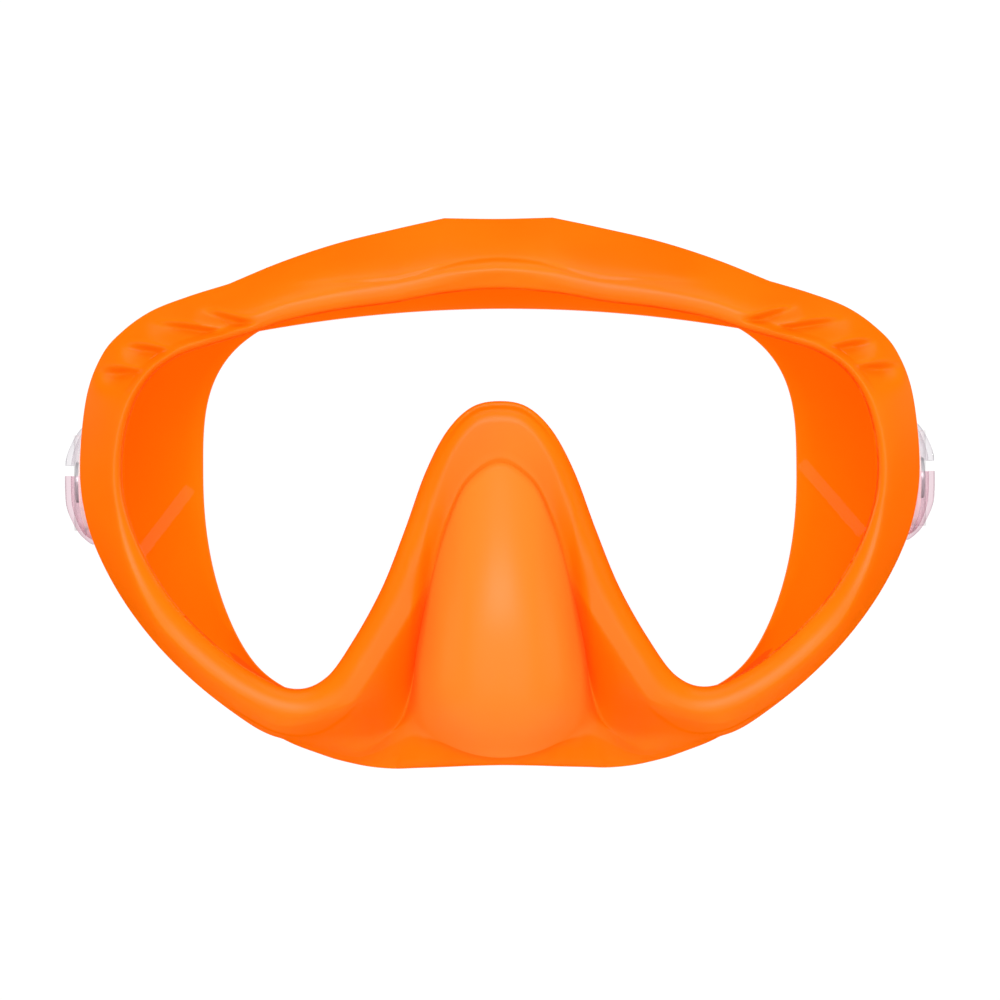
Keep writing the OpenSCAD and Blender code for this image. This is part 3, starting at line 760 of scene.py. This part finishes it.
# %% Inner face
SKIRT_WALL, RIM_WALL, LIP_EDGE, LIP_ROUND = 2.2, 3.5, 0.8, 0.35
tip = outline[:, -1]
tip_back = tip - [0, LIP_EDGE, 0]
lip_way = unit(tip - outline[:, -2])
by_nose = both_sides(ramp(CHEEK, CHEEK + 2, h))[:, None]
inner = [(tip + tip_back) / 2 + lip_way * LIP_ROUND, tip_back,
         outline[:, shell_end + 1] + inward[:, shell_end + 1] * (SKIRT_WALL + LIP_EDGE) / 2]
for j in range(shell_end, rim_end - 1, -1):
    wall = lerp(RIM_WALL, SKIRT_WALL, by_nose) if j == rim_end else SKIRT_WALL
    inner.append(outline[:, j] + even[:, j] * wall)
print("inner face drawn with", len(inner), "points in each section")

# %% [markdown]
# Behind the glass a rounded ledge leads to the groove, which is as wide as the
# pane is thick. The skin then closes on the opening where it began. At the lower
# edge the last 2 mm are pressed together a little, so that the eased lip stays
# within the real height of the part.

# %% Groove for the glass and the closed skin
GROOVE, LEDGE, LOW_BAND, INNER_STEPS = 2.5, 3, 2.0, 3
seat = whole(np.stack([along(lens_line, h), outward(h)], axis=1))
ring_at, ring_out = seat[:, 0], seat[:, 1]


def behind(r, depth):
    """Points r mm outside the opening for the glass, at one depth."""
    plan = ring_at + ring_out * r
    return np.stack([plan[:, 0], np.full(len(plan), float(depth)), plan[:, 1]], axis=-1)


inner.append(behind(lerp(4.2, 5.5, by_nose), LENS_BACK + LEDGE))
inside = smooth_line(np.stack(inner, axis=1), INNER_STEPS)
ledge = [(1.8, LEDGE), (0.9, 2.6), (0.5, 1.4), (0.25, 0.4), (0, 0), (GROOVE, 0)]
groove = np.stack([behind(r, LENS_BACK + back_by) for r, back_by in ledge]
                  + [behind(GROOVE, LENS_FRONT)], axis=1)
skin = np.concatenate([face, inside, groove], axis=1)
past = np.maximum(0, lip_line[:, 1].min() + LOW_BAND - skin[..., 2])
skin[..., 2] += past * (1 - LOW_BAND / past.max())
print("skin:", skin.shape[0], "sections of", skin.shape[1], "points")

# %% [markdown]
# Every section has the same number of points and closes on itself, and the last
# section joins the first, so the moulding is a ring of four-sided faces with no
# seam and no open edge. Faces that meet at less than 50 degrees are shaded as one
# smooth surface; the edges of the groove stay sharp.

# %% A mesh from closed sections
def mesh_object(name, points, faces, smooth_below=None):
    mesh = bpy.data.meshes.new(name)
    mesh.from_pydata((np.asarray(points, float).reshape(-1, 3) * MM).tolist(), [], faces)
    mesh.validate()
    mesh.polygons.foreach_set("use_smooth", [True] * len(mesh.polygons))
    if smooth_below:
        mesh.set_sharp_from_angle(angle=math.radians(smooth_below))
    made = bpy.data.objects.new(name, mesh)
    bpy.context.scene.collection.objects.link(made)
    return made


def face_outward(made):
    bm = bmesh.new()
    bm.from_mesh(made.data)
    bmesh.ops.recalc_face_normals(bm, faces=bm.faces)
    bm.to_mesh(made.data)
    bm.free()


def ring_faces(rings, sides):
    index = np.arange(rings * sides).reshape(rings, sides)
    ahead = np.roll(index, -1, axis=0)
    quads = [index, ahead, np.roll(ahead, -1, axis=1), np.roll(index, -1, axis=1)]
    return np.stack(quads, axis=-1).reshape(-1, 4).tolist()


moulding = mesh_object("skirt_moulding", skin, ring_faces(*skin.shape[:2]), smooth_below=50)
face_outward(moulding)
print(len(moulding.data.polygons), "faces in the moulding")

# %% [markdown]
# Four values are kept with each point for the material. The nose pocket is moulded thin so that a
# diver can pinch it, and the seal is feathered: there the value thin is high, and the material
# paints a paler colour there, as painted light shining through the rubber. Recess shade marks the
# valley of the finger recess, where the material paints shade. Wall and inside mark the outer wall
# and the inner face.

# %% Values kept with each point
FADE_ROWS, LIP_ROWS = 12, 10
VALLEY_TOP, VALLEY_END = np.array([15, -24]), np.array([26, -49])


def point_value(name, values):
    attribute = moulding.data.attributes.new(name, "FLOAT", "POINT")
    attribute.data.foreach_set("value", values.reshape(-1))


OUTER_ROWS = FRONT_ROWS + BACK_ROWS
on_pocket = ramp(CORNER - 0.5, CORNER + 1, both_sides(h))[:, None]
thin, recess_shade, on_wall, on_inside = (np.zeros(skin.shape[:2]) for _ in range(4))
# Where thin is high the material paints a paler colour: painted light shining through the rubber
# from behind.
thin[:, RIM_ROWS:FRONT_ROWS] = on_pocket
thin[:, RIM_ROWS - FADE_ROWS:RIM_ROWS] = on_pocket * np.linspace(0, 0.5, FADE_ROWS)
thin[:, OUTER_ROWS - LIP_ROWS:OUTER_ROWS] = np.linspace(0, 0.7, LIP_ROWS)
# Painted shade: a darker colour along the valley of the finger recess.
run = VALLEY_END - VALLEY_TOP
spot = np.stack([np.abs(skin[..., 0]), skin[..., 2]], axis=-1) - VALLEY_TOP
share = np.clip(spot @ run / (run @ run), 0, 1)
off = np.linalg.norm(spot - share[..., None] * run, axis=-1)
recess_shade[:, :FRONT_ROWS + 4] = (hump(off, 2.2 + 4.6 * share) * share)[:, :FRONT_ROWS + 4]
recess_shade[:, RIM_ROWS:FRONT_ROWS] *= 1 - on_pocket
on_wall[:, FRONT_ROWS:OUTER_ROWS] = 1
on_inside[:, OUTER_ROWS:-groove.shape[1] - 1] = 1
point_value("thin", thin)
point_value("recess_shade", recess_shade)
point_value("wall", on_wall)
point_value("inside", on_inside)
print("shares of thin and thick points:", round(thin.mean(), 3), round(recess_shade.mean(), 3))

# %% [markdown]
# ## Silicone
# The rubber is a deep, even orange with a satin mould finish. Up close it has a
# fine spark-eroded grain, which goes to a bump, and faint clouding where the
# pigment flowed, which goes to the roughness and a little to the colour. Its
# sheen is a coat that fades on slanted faces and is weaker on the outer wall.
# Each kind of place also gives off a painted orange glow of its own, which lifts the shade and
# stands in for light spreading inside the rubber: the inner face most, and thin silicone a paler
# one.

# %% Silicone material
# The paler colour is painted light through thin rubber, the darker recess colour is painted shade,
# and the glow colours are painted light.
ORANGE, DEEP, PAINTED_BACKLIGHT = (1.0, 0.175, 0.002, 1), (0.97, 0.155, 0.001, 1), (1.0, 0.185, 0.017, 1)
RECESS_SHADE = (0.98, 0.115, 0, 1)
GLOW, GLOW_THIN, GLOW_RECESS = (0.2, 0.017, 0, 1), (0.22, 0.045, 0.003, 1), (0.21, 0.03, 0, 1)
GLOW_INSIDE = (0.35, 0.075, 0, 1)
silicone, wire, shader = new_material("orange_silicone")
place = wire.node("TexCoord", out=3)
cloud = wire.node("TexNoise", None, {"Vector": place, "Scale": 38.0, "Detail": 3.0})
grain = wire.node("TexNoise", None, {"Vector": place, "Scale": 2600.0, "Detail": 2.0})
is_thin, is_recess_shade, is_wall, is_inside = (
    wire.node("Attribute", {"attribute_name": name}, out=2)
    for name in ("thin", "recess_shade", "wall", "inside"))
slant = wire.node("LayerWeight", None, {"Blend": 0.5}, out="Facing").band(0.4, 0.9)
clouded = cloud.band(0.35, 0.7).mix(DEEP, ORANGE)
painted_glow = is_recess_shade.mix(is_thin.mix(GLOW, GLOW_THIN), GLOW_RECESS)
# Base colour: paler where the rubber is thin (painted light shining through it), darker in the
# finger recess valley (painted shade).
plug(silicone, is_recess_shade.mix(is_thin.mix(clouded, PAINTED_BACKLIGHT), RECESS_SHADE), "Base Color")
plug(silicone, 0.29 + cloud * 0.1 + is_wall * 0.25, "Roughness")
plug(silicone, (0.42 - cloud * 0.1) * (1 - slant) * (1 - is_wall * 0.6), "Coat Weight")
# Painted glow: the emission lifts the shade, most on the inner face.
plug(silicone, is_inside.mix(painted_glow, GLOW_INSIDE), "Emission Color")
plug(silicone, wire.node("Bump", None, {"Strength": 0.12, "Distance": 0.00004, "Height": grain}),
     "Normal")
constants(shader, Specular_IOR_Level=0.0, Coat_Roughness=0.33, Emission_Strength=1.0)
moulding.data.materials.append(silicone)
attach(moulding, "mask")
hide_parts("skirt")
print("silicone on", moulding.name)

# %% [markdown]
# ## The glass
# A pane of 4 mm tempered glass is cut to the outline of the opening and sunk
# 2.4 mm into the groove. Its edges are ground to a small arris, as every
# tempered pane is before it goes into the furnace.

# %% Cut the pane
ARRIS, SUNK = 0.5, 2.4
pane_rings = [(SUNK - ARRIS, LENS_FRONT), (SUNK, LENS_FRONT + ARRIS),
              (SUNK, LENS_BACK - ARRIS), (SUNK - ARRIS, LENS_BACK)]
pane_points = np.stack([behind(r, y) for r, y in pane_rings])[:, ::2]
count = pane_points.shape[1]
pane_faces = [list(range(count)), list(range(4 * count - 1, 3 * count - 1, -1))]
for ring in range(3):
    for k in range(count):
        a, b = ring * count + k, ring * count + (k + 1) % count
        pane_faces.append([a, a + count, b + count, b])
pane = mesh_object("glass_pane", pane_points, pane_faces, smooth_below=30)
face_outward(pane)
print("pane", np.round(np.array(pane.dimensions) / MM, 1).tolist(), "mm")

# %% [markdown]
# Glass and clear plastic let light through and mirror a little of it, more on
# slanted faces. A refracting shader would block the lamps' light and leave the
# inside of the mask dark. So this material mixes a tinted transparent shader
# with a mirror by Fresnel's rule, and rays that look for a lamp are let past.
# Faint smears change the roughness of the mirror.

# %% Clear materials
def clear_material(name, tint, slanted, roughness, smears, gloss, ior=1.5):
    material, wire, shader = new_material(name)
    smear = wire.node("TexNoise", None, {"Vector": wire.node("TexCoord", out=3), "Scale": 55.0,
                                         "Detail": 5.0, "Distortion": 1.2})
    plug(material, roughness + smear.band(0.5, 0.8) * smears, "Roughness")
    constants(shader, Base_Color=(1, 1, 1, 1), Metallic=1.0)
    nodes, links = material.node_tree.nodes, material.node_tree.links
    through = nodes.new("ShaderNodeMixShader")
    slant = wire.node("LayerWeight", None, {"Blend": 0.5}, out="Facing").band(0.35, 0.95)
    links.new(slant.socket, through.inputs[0])
    for socket, colour in ((1, tint), (2, slanted)):
        clear = nodes.new("ShaderNodeBsdfTransparent")
        clear.inputs["Color"].default_value = colour
        links.new(clear.outputs[0], through.inputs[socket])
    both = nodes.new("ShaderNodeMixShader")
    lit = (gloss * (1 - wire.node("LightPath", out="Is Shadow Ray"))
           * (1 - wire.node("NewGeometry", out="Backfacing")))
    links.new((lit * wire.node("Fresnel", None, {"IOR": ior})).socket, both.inputs[0])
    links.new(through.outputs[0], both.inputs[1])
    links.new(shader.outputs[0], both.inputs[2])
    links.new(both.outputs[0], nodes["Material Output"].inputs["Surface"])
    return material


glass = clear_material("tempered_glass", (1, 1, 1, 1), (0.97, 0.99, 0.98, 1),
                       roughness=0.0, smears=0.02, gloss=0.6)
pane.data.materials.append(glass)
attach(pane, "mask")
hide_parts("lens")
print("glass on", pane.name)

# %% [markdown]
# ## Buckles
# The CAD solids of the buckles have their true shapes but razor-sharp edges. Each
# is copied, its triangles are merged back into faces, and its edges are rounded,
# because a moulded edge always has a small radius that catches the light.

# %% Round the edges of a CAD solid
FLAT, SMOOTH_BELOW = math.radians(1), math.radians(40)
ROUNDED_FROM = math.radians(32)


def rounded(node, radius, segments):
    bm = bmesh.new()
    bm.from_mesh(frame["nodes"][node].data)
    bmesh.ops.remove_doubles(bm, verts=bm.verts, dist=1e-6)
    bmesh.ops.dissolve_limit(bm, angle_limit=FLAT, verts=bm.verts, edges=bm.edges)
    sharp = [e for e in bm.edges if e.is_manifold and e.calc_face_angle(0) > ROUNDED_FROM]
    bmesh.ops.bevel(bm, geom=sharp, offset=radius * MM, segments=segments, profile=0.5,
                    affect="EDGES", clamp_overlap=True)
    mesh = bpy.data.meshes.new(node + "_moulded")
    bm.to_mesh(mesh)
    bm.free()
    mesh.polygons.foreach_set("use_smooth", [True] * len(mesh.polygons))
    mesh.set_sharp_from_angle(angle=SMOOTH_BELOW)
    made = bpy.data.objects.new(node + "_moulded", mesh)
    bpy.context.scene.collection.objects.link(made)
    return made


print(len(frame["nodes"]), "CAD solids, of which", len(frame["nodes"]) - 2, "are in the buckles")

# %% [markdown]
# Seen from the front, the buttons' end of each buckle is a dome that falls away
# toward its top and bottom, more than the CAD solids do. So the pieces in it are
# bent together: the more, the further out and the further from the middle a
# point lies.

# %% Bend of the dome
DOMED = ("buckle_body", "upper_button", "lower_button", "button_spring", "roller_pin", "pawl_pin")
DOME_DROP, DOME_FLAT, DOME_REACH, DOME_POWER = 3.6, 4, 8.4, 1.7


def bend_dome(piece, side):
    button = frame["nodes"][f"{side}_upper_button"].data.vertices
    button_x = np.abs(np.array([v.co for v in button])[:, 0]) / MM
    rivet = frame["nodes"][f"{side}_pivot_rivet"].bound_box
    pivot_y = np.mean([corner[1] for corner in rivet]) / MM
    points = np.array([v.co for v in piece.data.vertices]) / MM
    share = np.clip((np.abs(points[:, 0]) - button_x.min()) / np.ptp(button_x), 0, 1)
    ahead = 1 - ramp(9.6, 12.5, points[:, 1] - pivot_y)
    off = np.maximum(0, (np.abs(points[:, 2]) - DOME_FLAT) / DOME_REACH)
    drop = DOME_DROP * off ** DOME_POWER
    points[:, 0] -= SIDES[side] * lerp(share ** 2, share, ahead) * drop
    piece.data.vertices.foreach_set("co", (points * MM).reshape(-1))


def dress(side, name, radius, material, segments=3):
    """A rounded copy of a buckle's piece, bent with the dome, in place of the CAD solid."""
    node = f"{side}_{name}"
    piece = rounded(node, radius, segments)
    if name in DOMED:
        bend_dome(piece, side)
    piece.data.materials.append(material)
    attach(piece, frame["nodes"][node]["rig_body"])
    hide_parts(node)
    return piece


print(len(DOMED), "pieces of each buckle bend with its dome")

# %% [markdown]
# The buckles are moulded from clear polycarbonate. The two buttons are polished, the lower one
# with a rose tint. The body, anchor, roller and pawl have a fine frosted grain and look white; a
# faint painted glow brightens them.

# %% Clear and frosted pieces
frosted, wire, shader = new_material("frosted_polycarbonate")
frost = wire.node("TexNoise", None, {"Vector": wire.node("TexCoord", out=3), "Scale": 900.0,
                                     "Detail": 3.0})
plug(frosted, frost.mix((0.94, 0.92, 0.925, 1), (0.99, 0.97, 0.975, 1)), "Base Color")
plug(frosted, 0.35 + frost * 0.2, "Roughness")
# Painted glow: a faint emission brightens the frosted pieces.
plug(frosted, frost.mix((0.05, 0.045, 0.047, 1), (0.07, 0.063, 0.066, 1)), "Emission Color")
plug(frosted, wire.node("Bump", None, {"Strength": 0.2, "Distance": 0.00005, "Height": frost}),
     "Normal")
constants(shader, Emission_Strength=1.0)
polish = {"roughness": 0.06, "smears": 0.08, "gloss": 0.25}
button_clear = clear_material("clear_button", (0.99, 0.98, 0.985, 1), (0.87, 0.85, 0.87, 1),
                              **polish)
button_rose = clear_material("rose_button", (0.99, 0.925, 0.945, 1), (0.86, 0.74, 0.78, 1),
                             **polish)
moulded = {"anchor": (0.25, frosted, "buckle_clear"),
           "buckle_body": (0.35, frosted, "buckle_clear"),
           "upper_button": (0.3, button_clear, "button_clear"),
           "lower_button": (0.3, button_rose, "button_rose"),
           "strap_roller": (0.12, frosted, "buckle_clear"),
           "strap_pawl": (0.2, frosted, "buckle_clear")}
for side in SIDES:
    for name, (radius, material, slot) in moulded.items():
        dress(side, name, radius, material)
print(len(SIDES) * len(moulded), "clear and frosted pieces")

# %% [markdown]
# ## Stainless steel
# The rivets, pins and springs are stainless wire and rod. Drawn wire has fine lines along it; a
# noise stretched along the pins gives them, in the colour, the roughness and a faint bump.

# %% Steel pieces
STEEL_RADIUS, SPRING_KEEP = 0.08, 0.79
steel, wire, shader = new_material("drawn_stainless")
drawn_out = wire.node("Mapping", None, {"Vector": wire.node("TexCoord", out=3),
                                        "Scale": (9000.0, 9000.0, 260.0)})
lines = wire.node("TexNoise", None, {"Vector": drawn_out, "Scale": 1.0, "Detail": 2.0})
plug(steel, lines.mix((0.7, 0.7, 0.72, 1), (0.76, 0.76, 0.78, 1)), "Base Color")
plug(steel, 0.28 + lines * 0.07, "Roughness")
plug(steel, wire.node("Bump", None, {"Strength": 0.06, "Distance": 0.00002, "Height": lines}),
     "Normal")
constants(shader, Metallic=0.4)
STEEL_PIECES = ("pivot_rivet", "roller_pin", "pawl_pin", "button_spring")
for side in SIDES:
    for name in STEEL_PIECES:
        piece = dress(side, name, STEEL_RADIUS, steel, segments=2)
        if name == "button_spring":
            middle = np.mean([v.co for v in piece.data.vertices], axis=0)
            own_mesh(piece)
print(len(SIDES) * len(STEEL_PIECES), "steel pieces")

# %% [markdown]
# ## Floor
# The mask is held in front of a white background, so the floor lies well below
# it. It is a pale round sheet whose edge fades out, which keeps the shadow in
# views from above and leaves no line in the picture.

# %% Floor
FLOOR_RADIUS, FLOOR_Z, FLOOR_SIDES = 340, -200, 64
turns = np.arange(FLOOR_SIDES) * 2 * math.pi / FLOOR_SIDES
floor = mesh_object("floor", [[FLOOR_RADIUS * math.cos(a), FLOOR_RADIUS * math.sin(a), FLOOR_Z]
                              for a in turns], [list(range(FLOOR_SIDES))])
paper, wire, shader = new_material("pale_floor")
distance = wire.node("VectorMath", {"operation": "LENGTH"},
                     {0: wire.node("TexCoord", out=3)}, out=1)
seen = wire.node("LightPath", out="Is Camera Ray")
plug(paper, seen.mix((0, 0, 0, 1), (0.25, 0.25, 0.25, 1)), "Emission Color")
plug(paper, 1 - distance.band(0.24, 0.39), "Alpha")
constants(shader, Base_Color=(0.9, 0.9, 0.9, 1), Roughness=0.9, Emission_Strength=1.0)
floor.data.materials.append(paper)
floor.visible_glossy = False
print("floor", round(-FLOOR_Z * MM, 2), "m below the middle of the mask")
